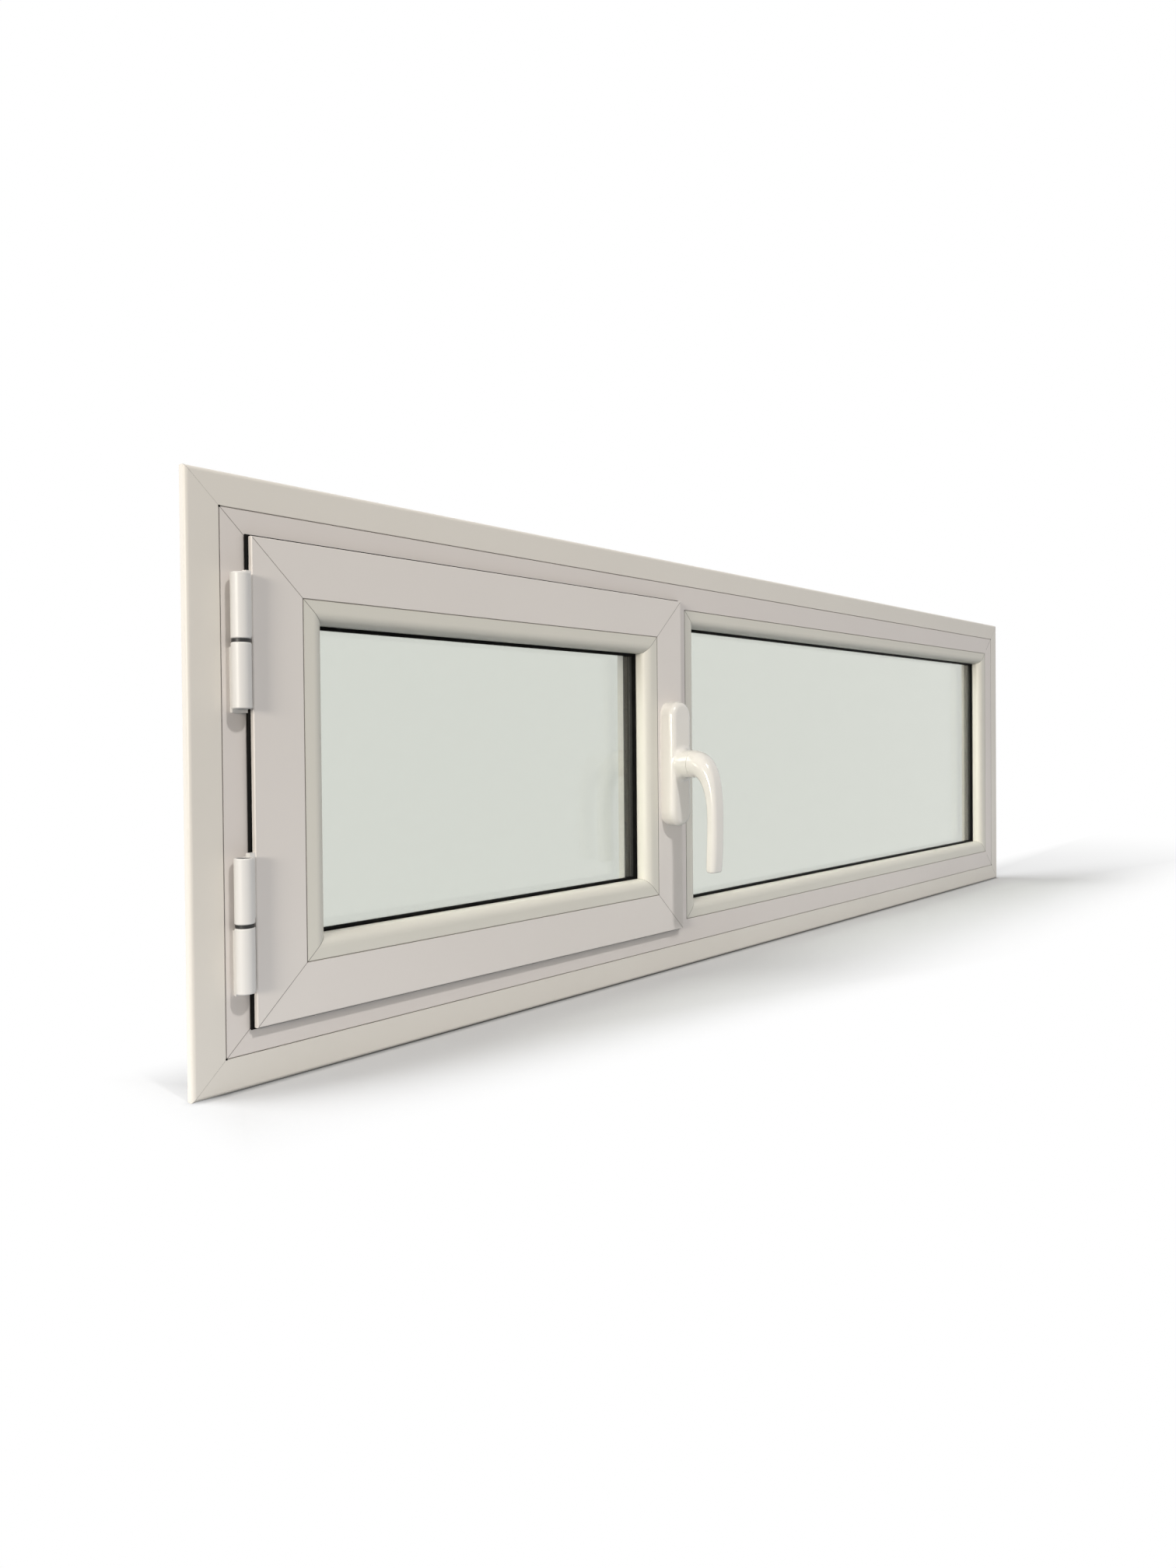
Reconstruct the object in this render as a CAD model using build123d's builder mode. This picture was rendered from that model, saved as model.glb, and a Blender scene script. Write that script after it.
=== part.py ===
"""White aluminium window: a side-hung sash beside a fixed light, in one mitred frame with a wall trim.

Millimetres, +Z up, +X to the right seen from the room, +Y to the outside.
The origin is the middle of the flat seat under the frame's sill.
"""

import math
import os

from build123d import *

# Overall sizes, over the wall trim
overall_length = 1640.0
overall_height = 500.0

# Wall trim: a thin strip with a rounded outer edge, a lip to the wall and a clip leg
trim_width = 28.5
trim_thickness = 1.8
trim_edge_radius = 3.5
trim_depth = 8.0
clip_length = 10.0
clip_hook = 2.5

# Frame profile, seen in section: depth runs from the room to the outside
frame_depth = 45.0
frame_sight = 22.0
sash_overlap = 7.5
lip_thickness = 2.0
lip_height = 5.5
leg_rise = 14.0
profile_wall = 1.8
clip_slot_start = 6.0
clip_slot_end = 12.0
clip_slot_depth = 3.0
joint_chamfer = 0.6

# Mullion between the sash and the fixed light
mullion_face = 27.5

# Sash profile
sash_width = 562.0
sash_proud = 9.7
sash_face_width = 46.2
flange_thickness = 4.7
flange_chamfer = 0.8
hardware_gap = 12.0
outside_gap = 5.0
stop_gap = 5.0

# Glazing
bead_width = 20.0
bead_depth = 16.5
bead_radius = 10.0
bead_wall = 1.6
pane_thickness = 4.0
sash_cavity = 14.0
fixed_cavity = 9.0
gasket_thickness = 4.0
outer_gasket_thickness = 3.0
gasket_cover = 6.0
gasket_show = 3.2
outer_gasket_show = 1.6
gasket_chamfer = 1.2
glass_edge_gap = 4.0
spacer_inset = 5.0
spacer_height = 7.0

# Rubber stop strip behind the sash's flange, with a bulb that stands out past its edge
strip_show = 2.0
strip_width = 8.0
strip_radius = 1.8

# Barrel hinges
hinge_inset = 85.5
hinge_diameter = 16.0
hinge_offset = 10.6
hinge_out = 11.2
knuckle_length = 53.0
washer_length = 2.8
washer_diameter = 15.0
pin_diameter = 8.0
pin_clearance = 0.05
pin_head_diameter = 12.6
pin_head_length = 1.8
end_recess_diameter = 12.8
end_recess_depth = 2.5
hinge_web = 3.5
hinge_foot_width = 9.0
hinge_foot_thickness = 4.0
hinge_foot_shift = 3.0
knuckle_fillet = 1.2

# Turning handle
handle_rise = 2.5
base_width = 36.5
base_length = 148.0
base_height = 19.5
base_corner_radius = 17.0
base_edge_radius = 7.0
neck_diameter = 33.0
neck_length = 16.5
neck_fillet = 7.0
lever_gap = 0.4
lever_reach = 66.0
lever_drop = 126.0
lever_width = 22.5
lever_thickness = 15.0
lever_bend_drop = 62.0
lever_tip_width = 20.5
lever_tip_thickness = 12.0
lever_tip_lean = 2.5
lever_tip_radius = 3.0
lever_corner_share = 0.42
neck_corner_share = 0.495
journal_diameter = 12.0
journal_length = 10.0
journal_clearance = 0.1

# Drain slots through the outside wall of the sill
drain_length = 28.0
drain_height = 5.0
drain_rise = 11.0
drain_inset = 90.0

# Sizes and places that follow from those above
frame_length = overall_length - 2 * trim_width
frame_height = overall_height - 2 * trim_width
lip_end = frame_sight + sash_overlap
floor = lip_end - lip_height
leg_end = lip_end + leg_rise
glass_start = bead_depth + gasket_thickness
fixed_stack = glass_start + 2 * pane_thickness + fixed_cavity + outer_gasket_thickness
sash_stack = glass_start + 2 * pane_thickness + sash_cavity + outer_gasket_thickness
sash_depth = frame_depth + sash_proud

seat_depth = frame_depth - clip_slot_end
frame_y = -clip_slot_end - seat_depth / 2
sash_y = frame_y - sash_proud

sash_body = floor + hardware_gap - frame_sight
sash_step = sash_proud + fixed_stack - stop_gap
sash_outside = leg_end + outside_gap - frame_sight
sash_floor = sash_face_width - lip_height
sash_leg_end = sash_face_width + leg_rise

# Rectangles seen from the room: left, right, bottom, top
frame_left = -frame_length / 2
frame_right = frame_length / 2
frame_rect = (frame_left, frame_right, 0.0, frame_height)
sash_left = frame_left + frame_sight
sash_right = sash_left + sash_width
sash_rect = (sash_left, sash_right, frame_sight, frame_height - frame_sight)
mullion_left = sash_right - sash_overlap
mullion_right = mullion_left + mullion_face
fixed_rect = (mullion_right, frame_right - lip_end, lip_end, frame_height - lip_end)


def inset(rect, distance):
    """The rectangle drawn in by a distance on all four sides."""
    left, right, bottom, top = rect
    return (left + distance, right - distance, bottom + distance, top - distance)


sash_glazing_rect = inset(sash_rect, sash_face_width)

os.makedirs("parts", exist_ok=True)


def save(part, node):
    part.label = node
    export_step(part, f"parts/{node}.step")


def side_plane(side, rect, depth):
    """Section plane at the middle of one side: its x runs to the outside, its y into the rectangle."""
    left, right, bottom, top = rect
    middle_x = (left + right) / 2
    middle_z = (bottom + top) / 2
    places = {
        "bottom": ((middle_x, depth, bottom), (1, 0, 0)),
        "right": ((right, depth, middle_z), (0, 0, 1)),
        "top": ((middle_x, depth, top), (-1, 0, 0)),
        "left": ((left, depth, middle_z), (0, 0, -1)),
    }
    origin, run = places[side]
    return Plane(origin=origin, x_dir=(0, 1, 0), z_dir=run)


def side_length(side, rect):
    left, right, bottom, top = rect
    return right - left if side in ("bottom", "top") else top - bottom


def mitred_bar(side, rect, depth, section, reach_out=0.0):
    """One side of a frame: a section run along the side and cut at 45 degrees at both ends."""
    plane = side_plane(side, rect, depth)
    half = side_length(side, rect) / 2
    with BuildPart() as bar:
        with BuildSketch(plane):
            add(section)
        extrude(amount=half + reach_out, both=True)
        for end in (1, -1):
            corner = plane.origin + plane.z_dir * (end * half)
            mitre = Plane(origin=corner, z_dir=plane.z_dir * end + plane.y_dir)
            split(bisect_by=mitre, keep=Keep.BOTTOM)
    return bar.part


# Section of the wall trim
trim_outer = -trim_width
trim_bend = trim_outer + trim_edge_radius
trim_inner = trim_outer + trim_thickness
with BuildSketch() as trim_section:
    with BuildLine():
        Polyline((joint_chamfer, 0), (0, -joint_chamfer), (0, trim_bend))
        RadiusArc((0, trim_bend), (trim_edge_radius, trim_outer), -trim_edge_radius)
        Polyline(
            (trim_edge_radius, trim_outer),
            (trim_depth, trim_outer),
            (trim_depth, trim_inner),
            (trim_edge_radius, trim_inner),
        )
        RadiusArc(
            (trim_edge_radius, trim_inner),
            (trim_thickness, trim_bend),
            trim_edge_radius - trim_thickness,
        )
        Polyline(
            (trim_thickness, trim_bend),
            (trim_thickness, -trim_thickness),
            (clip_length, -trim_thickness),
            (clip_length, clip_hook),
            (clip_length - trim_thickness, clip_hook),
            (clip_length - trim_thickness, 0),
            (joint_chamfer, 0),
        )
    make_face()

# Section of the frame: lip on the room side, floor, and a leg on the outside
with BuildSketch() as frame_outline:
    with BuildLine():
        Polyline(
            (joint_chamfer, 0),
            (0, joint_chamfer),
            (0, lip_end - joint_chamfer),
            (joint_chamfer, lip_end),
            (lip_thickness, lip_end),
            (lip_thickness, floor),
            (fixed_stack, floor),
            (fixed_stack, leg_end),
            (frame_depth, leg_end),
            (frame_depth, 0),
            (clip_slot_end, 0),
            (clip_slot_end, clip_slot_depth),
            (clip_slot_start, clip_slot_depth),
            (clip_slot_start, 0),
            close=True,
        )
    make_face()

with BuildSketch() as frame_section:
    add(frame_outline.sketch)
    with Locations((profile_wall, clip_slot_depth + profile_wall)):
        Rectangle(
            frame_depth - 2 * profile_wall,
            floor - clip_slot_depth - 2 * profile_wall,
            align=(Align.MIN, Align.MIN),
            mode=Mode.SUBTRACT,
        )

# Section of the sash: overlapping flange, hollow body, and a leg on the outside
with BuildSketch() as sash_section:
    with BuildLine():
        Polyline(
            (flange_chamfer, 0),
            (0, flange_chamfer),
            (0, sash_face_width - joint_chamfer),
            (joint_chamfer, sash_face_width),
            (lip_thickness, sash_face_width),
            (lip_thickness, sash_floor),
            (sash_stack, sash_floor),
            (sash_stack, sash_leg_end),
            (sash_depth, sash_leg_end),
            (sash_depth, sash_outside),
            (sash_step, sash_outside),
            (sash_step, sash_body),
            (flange_thickness, sash_body),
            (flange_thickness, 0),
            close=True,
        )
    make_face()
    with Locations((profile_wall, sash_body + profile_wall)):
        Rectangle(
            sash_step - 2 * profile_wall,
            sash_floor - sash_body - 2 * profile_wall,
            align=(Align.MIN, Align.MIN),
            mode=Mode.SUBTRACT,
        )

# Section of the rounded glazing bead: a flat strip beside the joint, then a quarter round down to the glass
bead_flat = bead_width - bead_radius
hollow_radius = bead_radius - bead_wall
with BuildSketch() as bead_section:
    with BuildLine():
        Polyline((joint_chamfer, 0), (0, joint_chamfer), (0, bead_flat))
        RadiusArc((0, bead_flat), (bead_radius, bead_width), bead_radius)
        Polyline(
            (bead_radius, bead_width),
            (bead_depth, bead_width),
            (bead_depth, -lip_height),
            (lip_thickness, -lip_height),
            (lip_thickness, 0),
            (joint_chamfer, 0),
        )
    make_face()
    with BuildLine():
        Polyline((bead_wall, bead_wall), (bead_wall, bead_flat))
        RadiusArc((bead_wall, bead_flat), (bead_radius, bead_width - bead_wall), hollow_radius)
        Polyline(
            (bead_radius, bead_width - bead_wall),
            (bead_depth - bead_wall, bead_width - bead_wall),
            (bead_depth - bead_wall, bead_wall),
            (bead_wall, bead_wall),
        )
    make_face(mode=Mode.SUBTRACT)


def wall_rectangle(rect, mode=Mode.ADD):
    """A rectangle in the plane of the window."""
    left, right, bottom, top = rect
    with Locations(((left + right) / 2, (bottom + top) / 2)):
        Rectangle(right - left, top - bottom, mode=mode)


def window_plane(depth):
    """Plane of the window at a depth, with its normal towards the outside."""
    return Plane(origin=(0, depth, 0), x_dir=(-1, 0, 0), z_dir=(0, 1, 0))


def mirrored(rect):
    """The rectangle as drawn on the window plane, whose x points to the left."""
    left, right, bottom, top = rect
    return (-right, -left, bottom, top)


def flat_ring(rect, rim, depth, thickness):
    """A flat rectangular ring lying inside a rectangle."""
    with BuildPart() as ring:
        with BuildSketch(window_plane(depth)):
            wall_rectangle(mirrored(rect))
            wall_rectangle(mirrored(inset(rect, rim)), mode=Mode.SUBTRACT)
        extrude(amount=thickness)
    return ring


# Wall trim, clipped to the frame's outer side
for side in ("top", "bottom", "left", "right"):
    save(mitred_bar(side, frame_rect, frame_y, trim_section.sketch, trim_width), f"trim_{side}")

# Frame
frame_names = {
    "top": "frame_head",
    "bottom": "frame_sill",
    "left": "frame_left_jamb",
    "right": "frame_right_jamb",
}
drain_plane = Plane(origin=(0, frame_y + frame_depth, drain_rise), x_dir=(-1, 0, 0), z_dir=(0, 1, 0))
drain_ends = (sash_left, sash_right, mullion_right, frame_right - lip_end)
drain_places = [end + drain_inset * (1 - 2 * (i % 2)) for i, end in enumerate(drain_ends)]
for side, node in frame_names.items():
    with BuildPart() as bar:
        add(mitred_bar(side, frame_rect, frame_y, frame_section.sketch))
        if node == "frame_sill":
            with BuildSketch(drain_plane):
                with Locations(*[(-place, 0) for place in drain_places]):
                    SlotOverall(drain_length, drain_height)
            extrude(amount=-2 * profile_wall, mode=Mode.SUBTRACT)
    save(bar.part, node)

# Mullion, with its ends coped over the head and the sill
web_left = lip_height
web_right = mullion_face - lip_height
mullion_plane = Plane(origin=(mullion_left, frame_y, frame_height / 2), x_dir=(1, 0, 0), z_dir=(0, 0, 1))
with BuildPart() as mullion:
    with BuildSketch(mullion_plane):
        with BuildLine():
            Polyline(
                (joint_chamfer, 0),
                (mullion_face - joint_chamfer, 0),
                (mullion_face, joint_chamfer),
                (mullion_face, lip_thickness),
                (web_right, lip_thickness),
                (web_right, fixed_stack),
                (mullion_face + leg_rise, fixed_stack),
                (mullion_face + leg_rise, frame_depth),
                (-leg_rise, frame_depth),
                (-leg_rise, fixed_stack),
                (web_left, fixed_stack),
                (web_left, lip_thickness),
                (0, lip_thickness),
                (0, joint_chamfer),
                close=True,
            )
        make_face()
        with Locations((mullion_face / 2, frame_depth / 2)):
            Rectangle(
                web_right - web_left - 2 * profile_wall,
                frame_depth - 2 * profile_wall,
                mode=Mode.SUBTRACT,
            )
    extrude(amount=frame_height / 2 - floor, both=True)
    for side in ("top", "bottom"):
        with BuildSketch(side_plane(side, frame_rect, frame_y)):
            add(frame_outline.sketch)
        extrude(amount=frame_length / 2, both=True, mode=Mode.SUBTRACT)
save(mullion.part, "mullion")

# Sash
sash_names = {
    "top": "sash_top_rail",
    "bottom": "sash_bottom_rail",
    "left": "sash_hinge_stile",
    "right": "sash_lock_stile",
}
for side, node in sash_names.items():
    save(mitred_bar(side, sash_rect, sash_y, sash_section.sketch), node)

# Rubber stop strip between the sash's flange and the frame
strip_depth = sash_y + flange_thickness
with BuildPart() as strip:
    add(flat_ring(inset(sash_rect, -strip_show), strip_width, strip_depth, frame_y - strip_depth).part)
    for face in (strip.faces().sort_by(Axis.Y)[0], strip.faces().sort_by(Axis.Y)[-1]):
        fillet(face.outer_wire().edges(), strip_radius)
save(strip.part, "sash_stop_strip")

# Glazing of the sash and of the fixed light
lights = {
    "sash": (sash_glazing_rect, sash_y, sash_cavity),
    "fixed": (fixed_rect, frame_y, fixed_cavity),
}
for light, (rect, face, cavity) in lights.items():
    for side in ("top", "bottom", "left", "right"):
        save(mitred_bar(side, rect, face, bead_section.sketch, lip_height), f"{light}_bead_{side}")

    gasket_depth = face + bead_depth
    inner_pane_depth = gasket_depth + gasket_thickness
    spacer_depth = inner_pane_depth + pane_thickness
    outer_pane_depth = spacer_depth + cavity
    outer_gasket_depth = outer_pane_depth + pane_thickness
    pane_rect = inset(rect, glass_edge_gap - lip_height)

    gaskets = {
        "inner": (bead_width, gasket_show, gasket_depth, gasket_thickness, 0),
        "outer": (leg_rise, outer_gasket_show, outer_gasket_depth, outer_gasket_thickness, -1),
    }
    for gasket, (reach, show, depth, thickness, lip_face) in gaskets.items():
        with BuildPart() as ring:
            add(flat_ring(inset(rect, reach - gasket_cover), gasket_cover + show, depth, thickness).part)
            lip = ring.faces().filter_by(Axis.Y).sort_by(Axis.Y)[lip_face].inner_wires()[0]
            chamfer(lip.edges(), gasket_chamfer)
        save(ring.part, f"{light}_{gasket}_gasket")

    for pane, depth in (("inner", inner_pane_depth), ("outer", outer_pane_depth)):
        with BuildPart() as sheet:
            with BuildSketch(window_plane(depth)):
                wall_rectangle(mirrored(pane_rect))
            extrude(amount=pane_thickness)
        save(sheet.part, f"{light}_{pane}_pane")

    spacer = flat_ring(inset(pane_rect, spacer_inset), spacer_height, spacer_depth, cavity)
    save(spacer.part, f"{light}_spacer")

# Barrel hinges: the upper knuckle is on the sash, the lower one on the frame
hinge_x = sash_left - hinge_offset
hinge_y = frame_y - hinge_out
hinge_radius = hinge_diameter / 2
bore_radius = pin_diameter / 2 + pin_clearance
hinge_places = {
    "upper": frame_height - frame_sight - hinge_inset,
    "lower": frame_sight + hinge_inset,
}


def knuckle(bottom, recess_at):
    """A hinge barrel with a bore for the pin and a recess at its free end."""
    with BuildPart() as barrel:
        with BuildSketch(Plane(origin=(hinge_x, hinge_y, bottom))):
            Circle(hinge_radius)
        extrude(amount=knuckle_length)
        fillet(barrel.edges().filter_by(GeomType.CIRCLE), knuckle_fillet)
        with BuildSketch(Plane(origin=(hinge_x, hinge_y, bottom))):
            Circle(bore_radius)
        extrude(amount=knuckle_length, mode=Mode.SUBTRACT)
        with BuildSketch(Plane(origin=(hinge_x, hinge_y, recess_at))):
            Circle(end_recess_diameter / 2)
        extrude(amount=end_recess_depth, mode=Mode.SUBTRACT)
    return barrel.part


for place, middle in hinge_places.items():
    washer_bottom = middle - washer_length / 2
    washer_top = middle + washer_length / 2
    low_end = washer_bottom - knuckle_length
    high_end = washer_top + knuckle_length
    foot_middle = knuckle_length / 2 + hinge_foot_shift

    with BuildPart() as sash_knuckle:
        add(knuckle(washer_top, high_end - end_recess_depth))
        with Locations((sash_left, sash_y + flange_thickness, washer_top + foot_middle)):
            Box(
                hinge_offset - hinge_radius + hinge_web,
                hinge_foot_thickness,
                knuckle_length,
                align=(Align.MAX, Align.MAX, Align.CENTER),
            )
        with BuildSketch(Plane(origin=(hinge_x, hinge_y, high_end - end_recess_depth))):
            Circle(end_recess_diameter / 2)
        extrude(amount=end_recess_depth + hinge_foot_shift, mode=Mode.SUBTRACT)
    save(sash_knuckle.part, f"{place}_hinge_sash_knuckle")

    with BuildPart() as frame_knuckle:
        add(knuckle(low_end, low_end))
        with Locations((hinge_x, frame_y, washer_bottom - knuckle_length / 2)):
            Box(
                hinge_web,
                hinge_out - hinge_radius + hinge_web,
                knuckle_length - 2 * hinge_foot_shift,
                align=(Align.CENTER, Align.MAX, Align.CENTER),
            )
        with Locations((sash_left - strip_show, frame_y, washer_bottom - foot_middle)):
            Box(
                hinge_offset - strip_show + hinge_foot_width / 2,
                hinge_foot_thickness,
                knuckle_length,
                align=(Align.MAX, Align.MAX, Align.CENTER),
            )
    save(frame_knuckle.part, f"{place}_hinge_frame_knuckle")

    with BuildPart() as washer:
        with BuildSketch(Plane(origin=(hinge_x, hinge_y, washer_bottom))):
            Circle(washer_diameter / 2)
            Circle(bore_radius, mode=Mode.SUBTRACT)
        extrude(amount=washer_length)
    save(washer.part, f"{place}_hinge_washer")

    with BuildPart() as pin:
        with BuildSketch(Plane(origin=(hinge_x, hinge_y, low_end + end_recess_depth))):
            Circle(pin_diameter / 2)
        extrude(amount=high_end - low_end - 2 * end_recess_depth)
        for head_at, out in ((low_end + end_recess_depth, -1), (high_end - end_recess_depth, 1)):
            with BuildSketch(Plane(origin=(hinge_x, hinge_y, head_at))):
                Circle(pin_head_diameter / 2)
            extrude(amount=out * pin_head_length)
    save(pin.part, f"{place}_hinge_pin")

# Turning handle at the middle of the sash's lock stile
handle_x = sash_right - sash_face_width / 2
handle_z = frame_height / 2 + handle_rise
neck_radius = neck_diameter / 2
neck_out = base_height + neck_length
journal_radius = journal_diameter / 2


def handle_plane(out):
    """Plane across the handle's axis at a distance from the sash, with its normal to the room."""
    return Plane(origin=(handle_x, sash_y - out, handle_z), x_dir=(1, 0, 0), z_dir=(0, -1, 0))


# Base: a rounded plate with a filleted round neck that carries the lever
with BuildPart() as handle_base:
    with BuildSketch(handle_plane(0)):
        RectangleRounded(base_width, base_length, base_corner_radius)
    extrude(amount=base_height)
    fillet(handle_base.faces().sort_by(Axis.Y)[0].edges(), base_edge_radius)
    with BuildSketch(handle_plane(0)):
        Circle(neck_radius)
    extrude(amount=neck_out)
    fillet(handle_base.edges(Select.NEW), neck_fillet)
    with BuildSketch(handle_plane(neck_out)):
        Circle(journal_radius + journal_clearance)
    extrude(amount=-journal_length - lever_gap, mode=Mode.SUBTRACT)
save(handle_base.part, "handle_base")

# Lever: leaves the neck square to the sash, bends down over a full shoulder and thins out to its tip
lever_start = neck_out + lever_gap
bend_pull = 0.64
bend_out = lever_reach - lever_start
grip_length = lever_drop - lever_bend_drop


def lever_point(out, drop):
    """A point of the lever's middle line, by its distance from the sash and below the handle's axis."""
    return (handle_x, sash_y - out, handle_z - drop)


with BuildPart() as handle_lever:
    with BuildLine() as lever_route:
        Bezier(
            lever_point(lever_start, 0),
            lever_point(lever_start + bend_pull * bend_out, 0),
            lever_point(lever_reach, (1 - bend_pull) * lever_bend_drop),
            lever_point(lever_reach, lever_bend_drop),
        )
        Bezier(
            lever_point(lever_reach, lever_bend_drop),
            lever_point(lever_reach, lever_bend_drop + grip_length / 3),
            lever_point(lever_reach - lever_tip_lean / 3, lever_drop - grip_length / 3),
            lever_point(lever_reach - lever_tip_lean, lever_drop),
        )
    bend_width = (neck_diameter + lever_width) / 2
    bend_thickness = (neck_diameter + lever_thickness) / 2
    bend_corner_share = (neck_corner_share + lever_corner_share) / 2
    grip_width = (lever_width + lever_tip_width) / 2
    grip_thickness = (lever_thickness + lever_tip_thickness) / 2
    lever_sizes = (
        (neck_diameter, neck_diameter, neck_corner_share),
        (bend_width, bend_thickness, bend_corner_share),
        (lever_width, lever_thickness, lever_corner_share),
        (grip_width, grip_thickness, lever_corner_share),
        (lever_tip_width, lever_tip_thickness, lever_corner_share),
    )
    for station, (width, thickness, corner_share) in enumerate(lever_sizes):
        share = station / (len(lever_sizes) - 1)
        across = Plane(origin=lever_route.line @ share, x_dir=(1, 0, 0), z_dir=lever_route.line % share)
        with BuildSketch(across):
            RectangleRounded(width, thickness, corner_share * thickness)
    sweep(path=lever_route.line, multisection=True)
    fillet(handle_lever.faces().sort_by(Axis.Z)[0].edges(), lever_tip_radius)
    with BuildSketch(handle_plane(lever_start)):
        Circle(journal_radius)
    extrude(amount=-journal_length)
save(handle_lever.part, "handle_lever")
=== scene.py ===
import math
import bpy
from mathutils import Matrix, Vector


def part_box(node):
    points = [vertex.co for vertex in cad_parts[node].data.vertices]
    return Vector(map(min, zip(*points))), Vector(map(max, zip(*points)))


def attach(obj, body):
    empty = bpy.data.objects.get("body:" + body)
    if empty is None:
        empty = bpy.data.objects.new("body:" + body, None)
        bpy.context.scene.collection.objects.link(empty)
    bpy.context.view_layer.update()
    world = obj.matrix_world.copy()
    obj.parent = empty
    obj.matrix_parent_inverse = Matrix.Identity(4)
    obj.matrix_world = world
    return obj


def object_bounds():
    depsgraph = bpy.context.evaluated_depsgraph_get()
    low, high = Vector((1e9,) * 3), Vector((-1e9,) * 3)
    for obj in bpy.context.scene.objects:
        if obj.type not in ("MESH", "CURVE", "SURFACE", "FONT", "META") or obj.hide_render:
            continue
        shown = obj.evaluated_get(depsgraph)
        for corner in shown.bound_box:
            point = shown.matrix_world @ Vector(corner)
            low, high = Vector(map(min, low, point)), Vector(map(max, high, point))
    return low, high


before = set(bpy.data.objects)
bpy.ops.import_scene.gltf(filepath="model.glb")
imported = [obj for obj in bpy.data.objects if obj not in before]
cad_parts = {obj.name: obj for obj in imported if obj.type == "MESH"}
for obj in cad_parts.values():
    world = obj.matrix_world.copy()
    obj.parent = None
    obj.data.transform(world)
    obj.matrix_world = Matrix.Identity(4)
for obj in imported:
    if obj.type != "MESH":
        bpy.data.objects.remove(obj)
cad_box = [list(corner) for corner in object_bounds()]


# Wall trim: four clip-on strips of extruded aluminium with a rounded outer edge, mitred at the
# corners and powder coated off-white. They cover the gap between the frame and the wall.
def add_node(tree, kind, sockets=None, **settings):
    node = tree.nodes.new(kind)
    for name, value in settings.items():
        setattr(node, name, value)
    for name, value in (sockets or {}).items():
        if isinstance(value, bpy.types.NodeSocket):
            tree.links.new(value, node.inputs[name])
        else:
            node.inputs[name].default_value = value
    return node


def add_math(tree, operation, *values):
    return add_node(tree, "ShaderNodeMath", dict(enumerate(values)), operation=operation).outputs[0]


def add_place(tree):
    return add_node(tree, "ShaderNodeTexCoord").outputs["Object"]


def add_noise(tree, place, scale, detail):
    sockets = {"Vector": place, "Scale": scale, "Detail": detail}
    return add_node(tree, "ShaderNodeTexNoise", sockets).outputs[0]


def add_range(tree, value, low, high, start=0.0, end=1.0, curve="LINEAR"):
    sockets = {"Value": value, "From Min": start, "From Max": end, "To Min": low, "To Max": high}
    return add_node(tree, "ShaderNodeMapRange", sockets, interpolation_type=curve).outputs[0]


def new_group(name, inputs, outputs):
    tree = bpy.data.node_groups.new(name, "ShaderNodeTree")
    for label, kind, value in inputs:
        tree.interface.new_socket(label, in_out="INPUT", socket_type=kind).default_value = value
    for label, kind in outputs:
        tree.interface.new_socket(label, in_out="OUTPUT", socket_type=kind)
    given = tree.nodes.new("NodeGroupInput").outputs
    return tree, given, tree.nodes.new("NodeGroupOutput").inputs


def place_group(tree, group, **sockets):
    named = {name.replace("_", " "): value for name, value in sockets.items()}
    return add_node(tree, "ShaderNodeGroup", named, node_tree=group).outputs


def new_finish(name):
    finish = bpy.data.materials.new(name)
    finish.use_nodes = True
    return finish, finish.node_tree, finish.node_tree.nodes["Principled BSDF"]


def dress(finish, *nodes):
    for node in nodes:
        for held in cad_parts[node].material_slots:
            held.material = finish


# dust and sealant that settle in the joint round a rectangle of bars and in its four mitres
mitre_overrun = 0.001
joint_dust, dust_in, dust_out = new_group(
    "joint_dust",
    [("Left", "NodeSocketFloat", -0.8), ("Right", "NodeSocketFloat", 0.8),
     ("Bottom", "NodeSocketFloat", 0.0), ("Top", "NodeSocketFloat", 0.4),
     ("Reach", "NodeSocketFloat", 0.003), ("Mitre reach", "NodeSocketFloat", 0.0012)],
    [("Mask", "NodeSocketFloat")])
place = add_place(joint_dust)
axes = add_node(joint_dust, "ShaderNodeSeparateXYZ", {0: place}).outputs
beyond = []
for axis, low, high in (("X", "Left", "Right"), ("Z", "Bottom", "Top")):
    ends_added = add_math(joint_dust, "ADD", dust_in[low], dust_in[high])
    middle = add_math(joint_dust, "MULTIPLY", ends_added, 0.5)
    span = add_math(joint_dust, "SUBTRACT", dust_in[high], dust_in[low])
    half = add_math(joint_dust, "MULTIPLY", span, 0.5)
    from_middle = add_math(joint_dust, "SUBTRACT", axes[axis], middle)
    off_middle = add_math(joint_dust, "ABSOLUTE", from_middle)
    beyond.append(add_math(joint_dust, "SUBTRACT", off_middle, half))
furthest = add_math(joint_dust, "MAXIMUM", *beyond)
from_line = add_math(joint_dust, "ABSOLUTE", furthest)
from_mitre = add_math(joint_dust, "ABSOLUTE", add_math(joint_dust, "SUBTRACT", *beyond))
near_line, near_mitre = [
    add_range(joint_dust, distance, low=1.0, high=0.0, end=dust_in[reach], curve="SMOOTHSTEP")
    for distance, reach in ((from_line, "Reach"), (from_mitre, "Mitre reach"))]
inside = add_math(joint_dust, "LESS_THAN", furthest, mitre_overrun)
near_mitre = add_math(joint_dust, "MULTIPLY", near_mitre, inside)
near = add_math(joint_dust, "MAXIMUM", near_line, near_mitre)
patches = add_noise(joint_dust, place, scale=55.0, detail=3.0)
patchy = add_range(joint_dust, patches, low=0.55, high=1.0, start=0.3, end=0.7)
joint_dust.links.new(add_math(joint_dust, "MULTIPLY", near, patchy), dust_out["Mask"])

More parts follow.
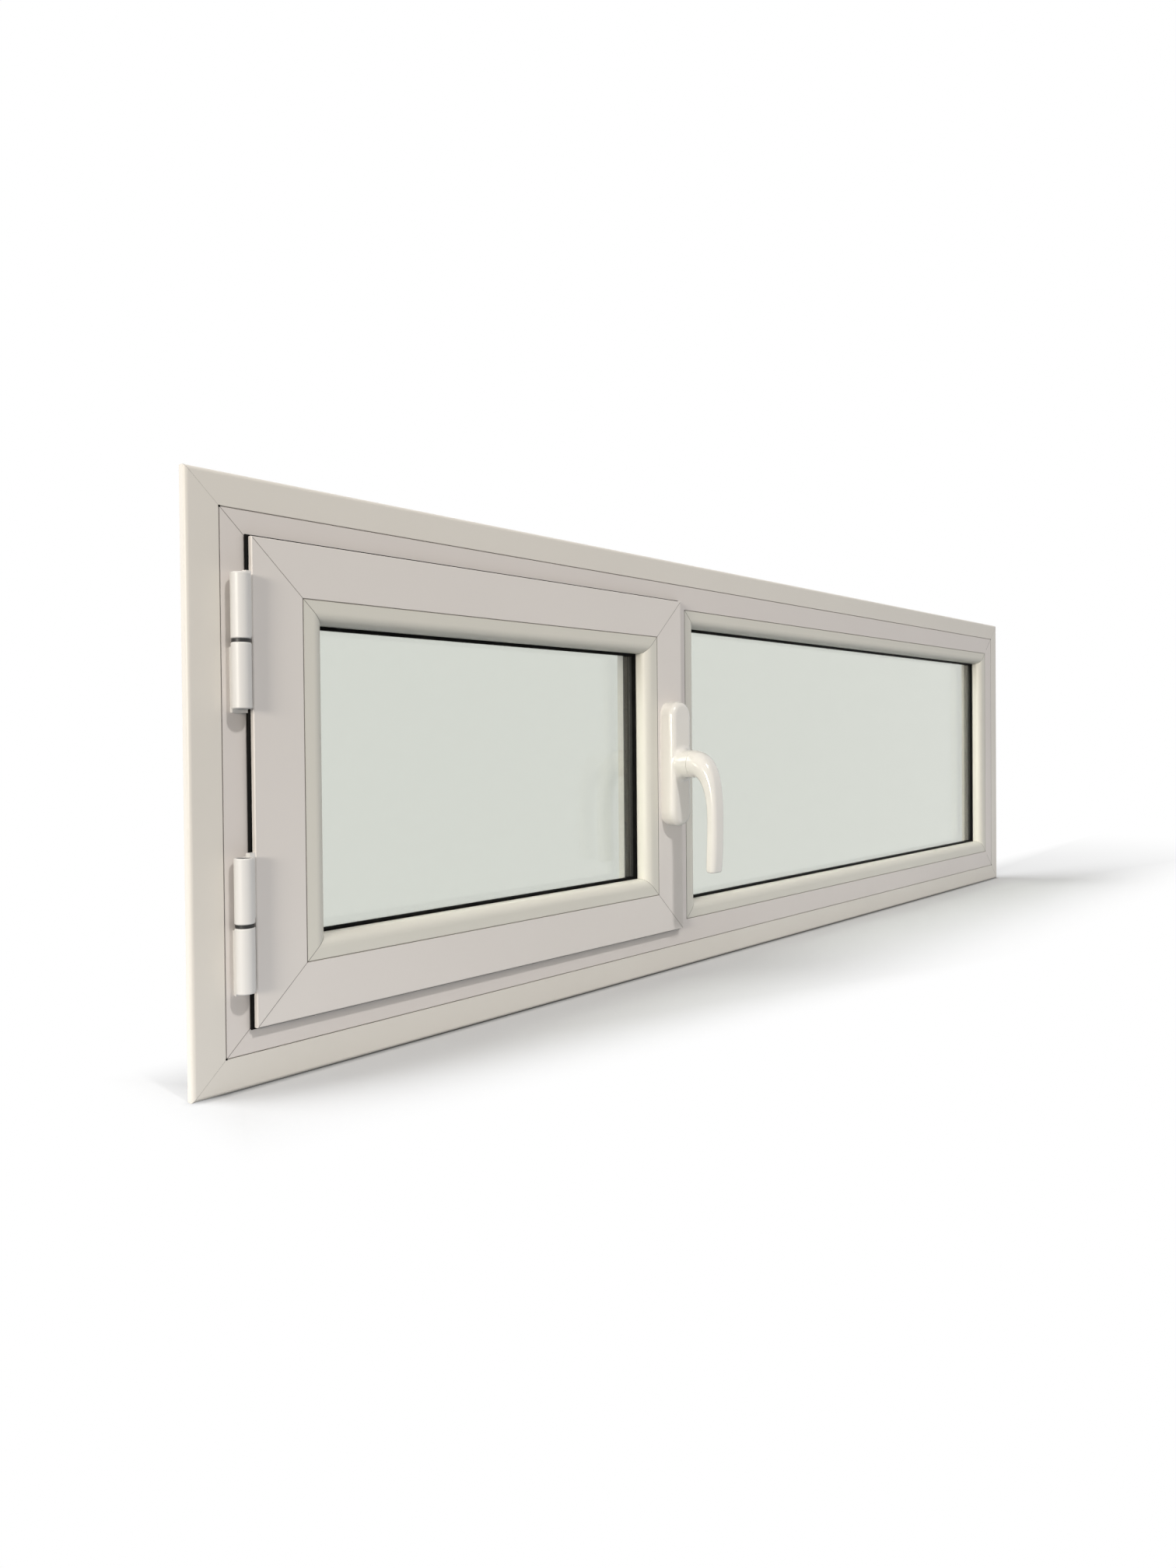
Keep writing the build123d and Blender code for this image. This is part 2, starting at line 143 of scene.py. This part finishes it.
# powder coat: a fine orange peel, a slow drift of tone, smudged gloss, and dust that dulls it
dust_dullness = 0.35
powder_coat, coat_in, coat_out = new_group(
    "powder_coat",
    [("Colour", "NodeSocketColor", (0.8, 0.8, 0.8, 1)), ("Dust", "NodeSocketFloat", 0.0),
     ("Dust colour", "NodeSocketColor", (0.2, 0.17, 0.14, 1)), ("Gloss", "NodeSocketFloat", 0.35),
     ("Peel", "NodeSocketFloat", 900.0)],
    [("Colour", "NodeSocketColor"), ("Roughness", "NodeSocketFloat"),
     ("Height", "NodeSocketFloat")])
place = add_place(powder_coat)
drift = add_noise(powder_coat, place, scale=4.0, detail=2.0)
drift = add_range(powder_coat, drift, low=0.985, high=1.012, start=0.3, end=0.7)
toned = add_node(powder_coat, "ShaderNodeHueSaturation",
                 {"Color": coat_in["Colour"], "Value": drift}).outputs[0]
dusty = add_node(powder_coat, "ShaderNodeMix",
                 {"Factor": coat_in["Dust"], 6: toned, 7: coat_in["Dust colour"]},
                 data_type="RGBA").outputs[2]
powder_coat.links.new(dusty, coat_out["Colour"])
smudge = add_noise(powder_coat, place, scale=38.0, detail=4.0)
smudge = add_range(powder_coat, smudge, low=-0.025, high=0.03, start=0.3, end=0.7)
smudged = add_math(powder_coat, "ADD", coat_in["Gloss"], smudge)
dull = add_math(powder_coat, "MULTIPLY_ADD", coat_in["Dust"], dust_dullness, smudged)
powder_coat.links.new(dull, coat_out["Roughness"])
peel = add_node(powder_coat, "ShaderNodeTexNoise",
                {"Vector": place, "Scale": coat_in["Peel"], "Detail": 2.0, "Roughness": 0.55})
powder_coat.links.new(peel.outputs[0], coat_out["Height"])
dust_cover = 0.10


def coat(name, colour, gloss, joints=(), peel=900.0, lift=0.00003):
    finish, tree, shader = new_finish(name)
    dust = 0.0
    for (left, right, bottom, top), reach in joints:
        settled = place_group(tree, joint_dust, Left=left, Right=right, Bottom=bottom, Top=top,
                              Reach=reach)["Mask"]
        dust = add_math(tree, "MAXIMUM", dust, add_math(tree, "MULTIPLY", settled, dust_cover))
    coated = place_group(tree, powder_coat, Colour=(*colour, 1), Dust=dust, Gloss=gloss, Peel=peel)
    tree.links.new(coated["Colour"], shader.inputs["Base Color"])
    tree.links.new(coated["Roughness"], shader.inputs["Roughness"])
    bump = add_node(tree, "ShaderNodeBump",
                    {"Height": coated["Height"], "Strength": 0.5, "Distance": lift})
    tree.links.new(bump.outputs[0], shader.inputs["Normal"])
    return finish


(trim_left, _, trim_bottom), (trim_right, _, trim_top) = cad_box
(frame_left, _, frame_bottom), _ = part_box("frame_left_jamb")
_, (frame_right, _, frame_top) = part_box("frame_right_jamb")
trim_outline = (trim_left, trim_right, trim_bottom, trim_top)
frame_outline = (frame_left, frame_right, frame_bottom, frame_top)
past_edge = 0.002
trim_mitred = (trim_left - past_edge, trim_right + past_edge,
               trim_bottom - past_edge, trim_top + past_edge)
# trim, frame, sash and beads share one powder coat; each part's base colour is set to the tone that
# part shows under the light, so light and shade are painted into these colours
trim_paint = coat("trim_paint", (0.725, 0.695, 0.645), gloss=0.38,
                  joints=[(frame_outline, 0.0015), (trim_mitred, 0.0005)])
dress(trim_paint, "trim_top", "trim_bottom", "trim_left", "trim_right")


# Frame: four hollow bars of extruded aluminium, mitred and crimped on corner cleats, with a mullion
# between the opening light and the fixed light. The face is a satin powder coat.
bead_clip = 0.0055


def joint_round(light):
    (left, face, bottom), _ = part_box(f"{light}_bead_left")
    _, (right, _, top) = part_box(f"{light}_bead_right")
    return (left + bead_clip, right - bead_clip, bottom + bead_clip, top - bead_clip), face


frame_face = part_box("frame_head")[0][1]
fixed_outline, fixed_bead_face = joint_round("fixed")
frame_paint = coat("frame_paint", (0.70, 0.66, 0.635), gloss=0.36,
                   joints=[(frame_outline, 0.0015), (fixed_outline, 0.001)])
dress(frame_paint, "frame_head", "frame_sill", "frame_left_jamb", "frame_right_jamb", "mullion")


# Sash: four hollow bars of extruded aluminium, mitred like the frame, whose flange laps over the
# frame on the room side. It has the same powder coat as the frame, with its base colour painted a shade
# lighter, a painted tone of light.
(sash_left, sash_face, sash_bottom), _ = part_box("sash_hinge_stile")
_, (sash_right, _, sash_top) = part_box("sash_lock_stile")
sash_outline = (sash_left, sash_right, sash_bottom, sash_top)
sash_glazed, sash_bead_face = joint_round("sash")
sash_paint = coat("sash_paint", (0.735, 0.70, 0.672), gloss=0.36,
                  joints=[(sash_outline, 0.002), (sash_glazed, 0.0015)])
dress(sash_paint, "sash_top_rail", "sash_bottom_rail", "sash_hinge_stile", "sash_lock_stile")


# Glazing beads: rounded aluminium extrusions, cut at 45 degrees, which snap into the bars and hold
# the glass from the room side. Their powder coat is smoother than that of the bars, and its base colour
# is painted a little darker, a painted tone of shade.
bead_paint = coat("bead_paint", (0.68, 0.665, 0.605), gloss=0.42,
                  joints=[(fixed_outline, 0.002), (sash_glazed, 0.002)], lift=0.00001)
dress(bead_paint, *[f"{light}_bead_{side}" for light in ("sash", "fixed")
                    for side in ("top", "bottom", "left", "right")])


# Gaskets: extruded black rubber wedges on both faces of the glass, and the bulb strip that the
# sash's flange closes on. The rubber has a fine grain and a dull bloom.
def add_tones(tree, value, dark, light, start=0.0, end=1.0):
    ramp = add_node(tree, "ShaderNodeValToRGB", {"Fac": value})
    stops = ramp.color_ramp.elements
    stops[0].position, stops[0].color = start, (*dark, 1)
    stops[1].position, stops[1].color = end, (*light, 1)
    return ramp.outputs[0]


# this finish also colours the painted-shade rods in the open corner gaps
gasket_rubber, tree, shader = new_finish("gasket_rubber")
place = add_place(tree)
bloom = add_noise(tree, place, scale=70.0, detail=4.0)
shade = add_tones(tree, bloom, (0.002, 0.002, 0.002), (0.006, 0.0058, 0.0055), start=0.35, end=0.75)
tree.links.new(shade, shader.inputs["Base Color"])
tree.links.new(add_range(tree, bloom, low=0.36, high=0.58), shader.inputs["Roughness"])
grain = add_noise(tree, place, scale=1500.0, detail=2.0)
bump = add_node(tree, "ShaderNodeBump", {"Height": grain, "Strength": 0.4, "Distance": 0.00005})
tree.links.new(bump.outputs[0], shader.inputs["Normal"])
shader.inputs["Specular IOR Level"].default_value = 0.04
dress(gasket_rubber, "sash_stop_strip", "sash_inner_gasket", "sash_outer_gasket",
      "fixed_inner_gasket", "fixed_outer_gasket")


# Glass: each light is a sealed unit of two float panes, faintly grey-green, held between its
# gaskets. A thin film of dust lies on it, and light passes through it to the floor.
pane_glass, tree, shader = new_finish("pane_glass")
shader.inputs["Base Color"].default_value = (0.80, 0.815, 0.78, 1)
shader.inputs["Transmission Weight"].default_value = 1.0
shader.inputs["IOR"].default_value = 1.5
film = add_noise(tree, add_place(tree), scale=6.0, detail=5.0)
film = add_range(tree, film, low=0.0, high=0.02, start=0.4, end=0.8)
tree.links.new(film, shader.inputs["Roughness"])
let_through = add_node(tree, "ShaderNodeBsdfTransparent", {"Color": (0.72, 0.73, 0.71, 1)})
path = add_node(tree, "ShaderNodeLightPath").outputs
shadowed = add_node(tree, "ShaderNodeMixShader", {0: path["Is Shadow Ray"], 1: shader.outputs[0],
                                                  2: let_through.outputs[0]})
tree.links.new(shadowed.outputs[0], tree.nodes["Material Output"].inputs["Surface"])
dress(pane_glass, "sash_inner_pane", "sash_outer_pane", "fixed_inner_pane", "fixed_outer_pane")


# Spacers: bent aluminium box tube, filled with drying beads and glued between the two panes, which
# it holds apart. The grey metal is painted nearly black, a painted shade and dark reflection of the
# hollow between the panes, with fine draw lines along the tube.
spacer_aluminium, tree, shader = new_finish("spacer_aluminium")
drawn = add_node(tree, "ShaderNodeMapping",
                 {"Vector": add_place(tree), "Scale": (60.0, 4000.0, 60.0)}).outputs[0]
streaks = add_noise(tree, drawn, scale=1.0, detail=3.0)
# painted shade: the tube's tone is kept near black
tone = add_tones(tree, streaks, (0.055, 0.055, 0.053), (0.08, 0.08, 0.077))
tree.links.new(tone, shader.inputs["Base Color"])
tree.links.new(add_range(tree, streaks, low=0.32, high=0.5), shader.inputs["Roughness"])
shader.inputs["Metallic"].default_value = 1.0
dress(spacer_aluminium, "sash_spacer", "fixed_spacer")


# Hinges: die-cast barrel hinges, stove enamelled white, on pins coloured near black and not metallic,
# which makes the ends of the barrels dark, with a black nylon washer between the knuckles.
hinge_enamel = coat("hinge_enamel", (0.725, 0.715, 0.70), gloss=0.40, peel=600.0, lift=0.000008)
dress(hinge_enamel, *[f"{end}_hinge_{leaf}_knuckle" for end in ("upper", "lower")
                      for leaf in ("sash", "frame")])
washer_nylon, tree, shader = new_finish("washer_nylon")
mottle = add_noise(tree, add_place(tree), scale=300.0, detail=3.0)
tone = add_tones(tree, mottle, (0.003, 0.003, 0.003), (0.010, 0.010, 0.010))
tree.links.new(tone, shader.inputs["Base Color"])
tree.links.new(add_range(tree, mottle, low=0.35, high=0.5), shader.inputs["Roughness"])
dress(washer_nylon, "upper_hinge_washer", "lower_hinge_washer")
pin_steel, tree, shader = new_finish("pin_steel")
turned = add_noise(tree, add_place(tree), scale=700.0, detail=3.0)
tone = add_tones(tree, turned, (0.012, 0.012, 0.012), (0.035, 0.034, 0.032))
tree.links.new(tone, shader.inputs["Base Color"])
tree.links.new(add_range(tree, turned, low=0.45, high=0.65), shader.inputs["Roughness"])
shader.inputs["Specular IOR Level"].default_value = 0.2
dress(pin_steel, "upper_hinge_pin", "lower_hinge_pin")


# Handle: a die-cast base screwed to the sash under its cap, and the cranked lever that turns in it.
# Both are lacquered gloss white.
handle_lacquer = coat("handle_lacquer", (0.75, 0.73, 0.69), gloss=0.18, peel=350.0, lift=0.00001)
shader = handle_lacquer.node_tree.nodes["Principled BSDF"]
shader.inputs["Coat Weight"].default_value = 0.7
shader.inputs["Coat Roughness"].default_value = 0.05
dress(handle_lacquer, "handle_base", "handle_lever")


# Joint sealant: a hairline of grey-brown small-joint sealant, darkened by dirt, in every mitre and
# along the joints of trim, frame and beads. It follows the joints as a thin round strand.
joint_radius, trim_mitre_radius, mitre_radius = 0.00015, 0.00005, 0.00016
strand_sink = 0.0001
strand_sides = 6
sealant, tree, shader = new_finish("joint_sealant")
dirt = add_noise(tree, add_place(tree), scale=30.0, detail=4.0)
tone = add_tones(tree, dirt, (0.05, 0.038, 0.03), (0.15, 0.125, 0.105), start=0.3, end=0.75)
tree.links.new(tone, shader.inputs["Base Color"])
tree.links.new(add_range(tree, dirt, low=0.6, high=0.85), shader.inputs["Roughness"])

strands = bpy.data.node_groups.new("sealant_strands", "GeometryNodeTree")
strands.interface.new_socket("Paths", in_out="INPUT", socket_type="NodeSocketGeometry")
radius_socket = strands.interface.new_socket("Strand radius", in_out="INPUT",
                                             socket_type="NodeSocketFloat")
finish_socket = strands.interface.new_socket("Finish", in_out="INPUT",
                                             socket_type="NodeSocketMaterial")
strands.interface.new_socket("Strands", in_out="OUTPUT", socket_type="NodeSocketGeometry")
given = strands.nodes.new("NodeGroupInput").outputs
line = add_node(strands, "GeometryNodeMeshToCurve", {"Mesh": given["Paths"]}).outputs[0]
ring = add_node(strands, "GeometryNodeCurvePrimitiveCircle",
                {"Resolution": strand_sides, "Radius": given["Strand radius"]}).outputs[0]
tube = add_node(strands, "GeometryNodeCurveToMesh",
                {"Curve": line, "Profile Curve": ring, "Fill Caps": True}).outputs[0]
solid = add_node(strands, "GeometryNodeRealizeInstances", {"Geometry": tube}).outputs[0]
coloured = add_node(strands, "GeometryNodeSetMaterial",
                    {"Geometry": solid, "Material": given["Finish"]}).outputs[0]
strands.links.new(coloured, strands.nodes.new("NodeGroupOutput").inputs["Strands"])


def rectangle_lines(outline, depth):
    left, right, bottom, top = outline
    corners = [(left, depth, bottom), (right, depth, bottom),
               (right, depth, top), (left, depth, top)]
    return [[corners[i], corners[(i + 1) % 4]] for i in range(4)]


def mitre_lines(outline, profile):
    left, right, bottom, top = outline
    return [[(x + across * inward, depth, z + up * inward) for inward, depth in profile]
            for x, across in ((left, 1), (right, -1)) for z, up in ((bottom, 1), (top, -1))]


def lay_strands(name, seams, radius, finish):
    points, edges = [], []
    for seam in seams:
        edges += [(len(points) + i, len(points) + i + 1) for i in range(len(seam) - 1)]
        points += seam
    paths = bpy.data.meshes.new(name)
    paths.from_pydata(points, edges, [])
    strand = bpy.data.objects.new(name, paths)
    bpy.context.collection.objects.link(strand)
    modifier = strand.modifiers.new("sealant", "NODES")
    modifier.node_group = strands
    modifier[radius_socket.identifier] = radius
    modifier[finish_socket.identifier] = finish
    laid = strand.evaluated_get(bpy.context.evaluated_depsgraph_get())
    made = bpy.data.meshes.new_from_object(laid)
    strand.modifiers.remove(modifier)
    strand.data = made
    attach(strand, "window")


seams = rectangle_lines(frame_outline, frame_face + strand_sink)
seams += rectangle_lines(sash_glazed, sash_face + strand_sink)
seams += rectangle_lines(fixed_outline, frame_face + strand_sink)
lay_strands("joint_strands", seams, joint_radius, sealant)

# the trim's strands start a little way round its outer rounding, so none stands past the edge
quarter = [math.radians(turn) for turn in range(0, 91, 10)]
trim_face, trim_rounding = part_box("trim_left")[0][1], 0.0035
trim_profile = [(trim_rounding * (1 - math.cos(turn)),
                 trim_face + trim_rounding * (1 - math.sin(turn))) for turn in quarter[2:]]
trim_profile.append((frame_left - trim_left, trim_face))
lay_strands("trim_mitre_strands", mitre_lines(trim_outline, trim_profile), trim_mitre_radius, sealant)

sash_edge = 0.001
bead_flat, bead_rounding, bead_depth = 0.01, 0.01, 0.0165
mitres = mitre_lines(frame_outline, [(0.0, frame_face), (sash_left - frame_left, frame_face)])
mitres += mitre_lines(sash_outline, [(sash_edge, sash_face),
                                     (sash_glazed[0] - sash_left, sash_face)])
for outline, face in ((sash_glazed, sash_bead_face), (fixed_outline, fixed_bead_face)):
    bent = [(bead_flat + bead_rounding * math.sin(turn),
             face + bead_rounding * (1 - math.cos(turn))) for turn in quarter]
    bead_profile = [(0.0, face)] + bent + [(bead_flat + bead_rounding, face + bead_depth)]
    mitres += mitre_lines(outline, bead_profile)
lay_strands("mitre_strands", mitres, mitre_radius, sealant)


# Corner gaps: the small open holes where two mitred strips of trim meet the corner of the frame.
# Nothing fills them; a short black rod in the gasket finish is set in each as painted shade, so each
# shows as a dark point.
gap_radius, gap_front, gap_back = 0.0009, frame_face - 0.0003, frame_face + 0.002
gap_shade_rods = [[(x, gap_front, z), (x, gap_back, z)]
        for x in (frame_left, frame_right) for z in (frame_bottom, frame_top)]
lay_strands("corner_gap_painted_shade", gap_shade_rods, gap_radius, gasket_rubber)


# Studio: a plain white floor that fades into the background and keeps the soft shadow, two soft
# lamps on the room side and one behind, and the camera of the photograph.
def seen_plainly(tree):
    path = add_node(tree, "ShaderNodeLightPath").outputs
    seen = add_math(tree, "MAXIMUM", path["Is Camera Ray"], path["Is Glossy Ray"])
    return add_math(tree, "MAXIMUM", seen, path["Is Transmission Ray"])


floor_reach = 8.0
floor_mesh = bpy.data.meshes.new("studio_floor")
floor_mesh.from_pydata(
    [(x * floor_reach, y * floor_reach, trim_bottom) for x, y in ((-1, -1), (1, -1), (1, 1), (-1, 1))],
    [], [(0, 1, 2, 3)])
floor = bpy.data.objects.new("studio_floor", floor_mesh)
bpy.context.collection.objects.link(floor)
floor_white, tree, shader = new_finish("floor_white")
tree.nodes.remove(shader)
seen = seen_plainly(tree)
place = add_place(tree)
# painted light: the fade with distance paints the floor white over the far floor and over the outer
# part of the cast shadow
centred = add_node(tree, "ShaderNodeMapping", {"Vector": place, "Scale": (0.6, 1.0, 0.0)}).outputs[0]
away = add_node(tree, "ShaderNodeVectorMath", {0: centred}, operation="LENGTH").outputs["Value"]
backdrop_and_shadow_fade = add_range(tree, away, low=0.0, high=1.0, start=0.31, end=1.18, curve="SMOOTHSTEP")
axes = add_node(tree, "ShaderNodeSeparateXYZ", {0: place}).outputs
slant = add_math(tree, "ADD", axes["Y"], add_math(tree, "MULTIPLY", axes["X"], 0.15))
# the floor fades to white behind, in front and past the left end, but still bounces its light there;
# these fades paint white over the window's cast shadow, so they set how far the shadow reaches
for value, start, end in ((axes["Y"], -0.02, 0.1), (axes["Y"], -0.06, -0.33),
                          (slant, -0.148, -0.30), (axes["X"], trim_left + 0.04, trim_left - 0.03)):
    side = add_range(tree, value, low=0.0, high=1.0, start=start, end=end, curve="SMOOTHSTEP")
    backdrop_and_shadow_fade = add_math(tree, "MAXIMUM", backdrop_and_shadow_fade, add_math(tree, "MULTIPLY", side, seen))
# painted shade: an ambient occlusion mask darkens the floor's own colour where the window stands on it
painted_contact_shade = add_node(tree, "ShaderNodeAmbientOcclusion", {"Distance": 0.008}, samples=8).outputs["AO"]
bounced_tone, seen_tone = (0.48, 0.51, 0.55, 1), (0.68, 0.69, 0.705, 1)
tone = add_node(tree, "ShaderNodeMix", {"Factor": seen, 6: bounced_tone, 7: seen_tone},
                data_type="RGBA").outputs[2]
tone_with_contact_shade = add_node(tree, "ShaderNodeVectorMath", {0: tone, 1: painted_contact_shade}, operation="MULTIPLY").outputs[0]
matt = add_node(tree, "ShaderNodeBsdfDiffuse", {"Color": tone_with_contact_shade}).outputs[0]
white = add_node(tree, "ShaderNodeEmission", {"Strength": seen}).outputs[0]
floor_look = add_node(tree, "ShaderNodeMixShader", {0: backdrop_and_shadow_fade, 1: matt, 2: white}).outputs[0]
tree.links.new(floor_look, tree.nodes["Material Output"].inputs["Surface"])
floor_mesh.materials.append(floor_white)

world = bpy.data.worlds.new("studio")
bpy.context.scene.world = world
world.use_nodes = True
tree = world.node_tree
room_light = add_node(tree, "ShaderNodeBackground", {"Color": (1.0, 0.98, 0.945, 1), "Strength": 0.36})
plain_white = add_node(tree, "ShaderNodeBackground", {"Color": (1, 1, 1, 1), "Strength": 1.0})
surround = add_node(tree, "ShaderNodeMixShader", {0: seen_plainly(tree), 1: room_light.outputs[0],
                                                  2: plain_white.outputs[0]}).outputs[0]
tree.links.new(surround, tree.nodes["World Output"].inputs["Surface"])


def add_lamp(name, kind, place, aim, power, colour):
    lamp = bpy.data.lights.new(name, kind)
    lamp.energy, lamp.color = power, colour
    held = bpy.data.objects.new(name, lamp)
    held.location = place
    held.rotation_euler = (Vector(aim) - Vector(place)).to_track_quat("-Z", "Y").to_euler()
    bpy.context.collection.objects.link(held)
    return lamp


ceiling_lamp = add_lamp("ceiling_lamp", "AREA", place=(-0.91, -3.03, 3.32), aim=(-0.4, -0.03, 0.2),
                        power=77.0, colour=(1.0, 0.97, 0.94))
ceiling_lamp.shape, ceiling_lamp.size = "DISK", 0.3
left_lamp = add_lamp("left_lamp", "AREA", place=(-6.0, -1.7, 0.9), aim=(0.0, 0.0, 0.2),
                     power=184.0, colour=(1.0, 0.93, 0.82))
left_lamp.shape, left_lamp.size = "DISK", 1.4
rear_lamp = add_lamp("rear_lamp", "SUN", place=(-2.3, 1.9, 2.7), aim=(0.0, 0.0, 0.2),
                     power=2.6, colour=(1.0, 1.0, 1.0))
rear_lamp.angle = math.radians(40)

camera_place = (-1.1684, -0.7832, 0.2543)
turn, tilt, roll = math.radians(46.80), math.radians(-0.72), math.radians(-0.52)
ahead = Vector((math.sin(turn) * math.cos(tilt), math.cos(turn) * math.cos(tilt), math.sin(tilt)))
level = Vector((math.cos(turn), -math.sin(turn), 0.0))
upward = level.cross(ahead)
picture_right = math.cos(roll) * level + math.sin(roll) * upward
picture_up = math.cos(roll) * upward - math.sin(roll) * level
camera_data = bpy.data.cameras.new("photo_camera")
camera_data.lens = 22.74
camera_data.shift_y = -0.0206
camera = bpy.data.objects.new("photo_camera", camera_data)
bpy.context.collection.objects.link(camera)
camera.matrix_world = Matrix.Translation(camera_place) @ Matrix(
    (picture_right, picture_up, -ahead)).transposed().to_4x4()
bpy.context.scene.camera = camera
bpy.context.scene.view_settings.view_transform = "Standard"
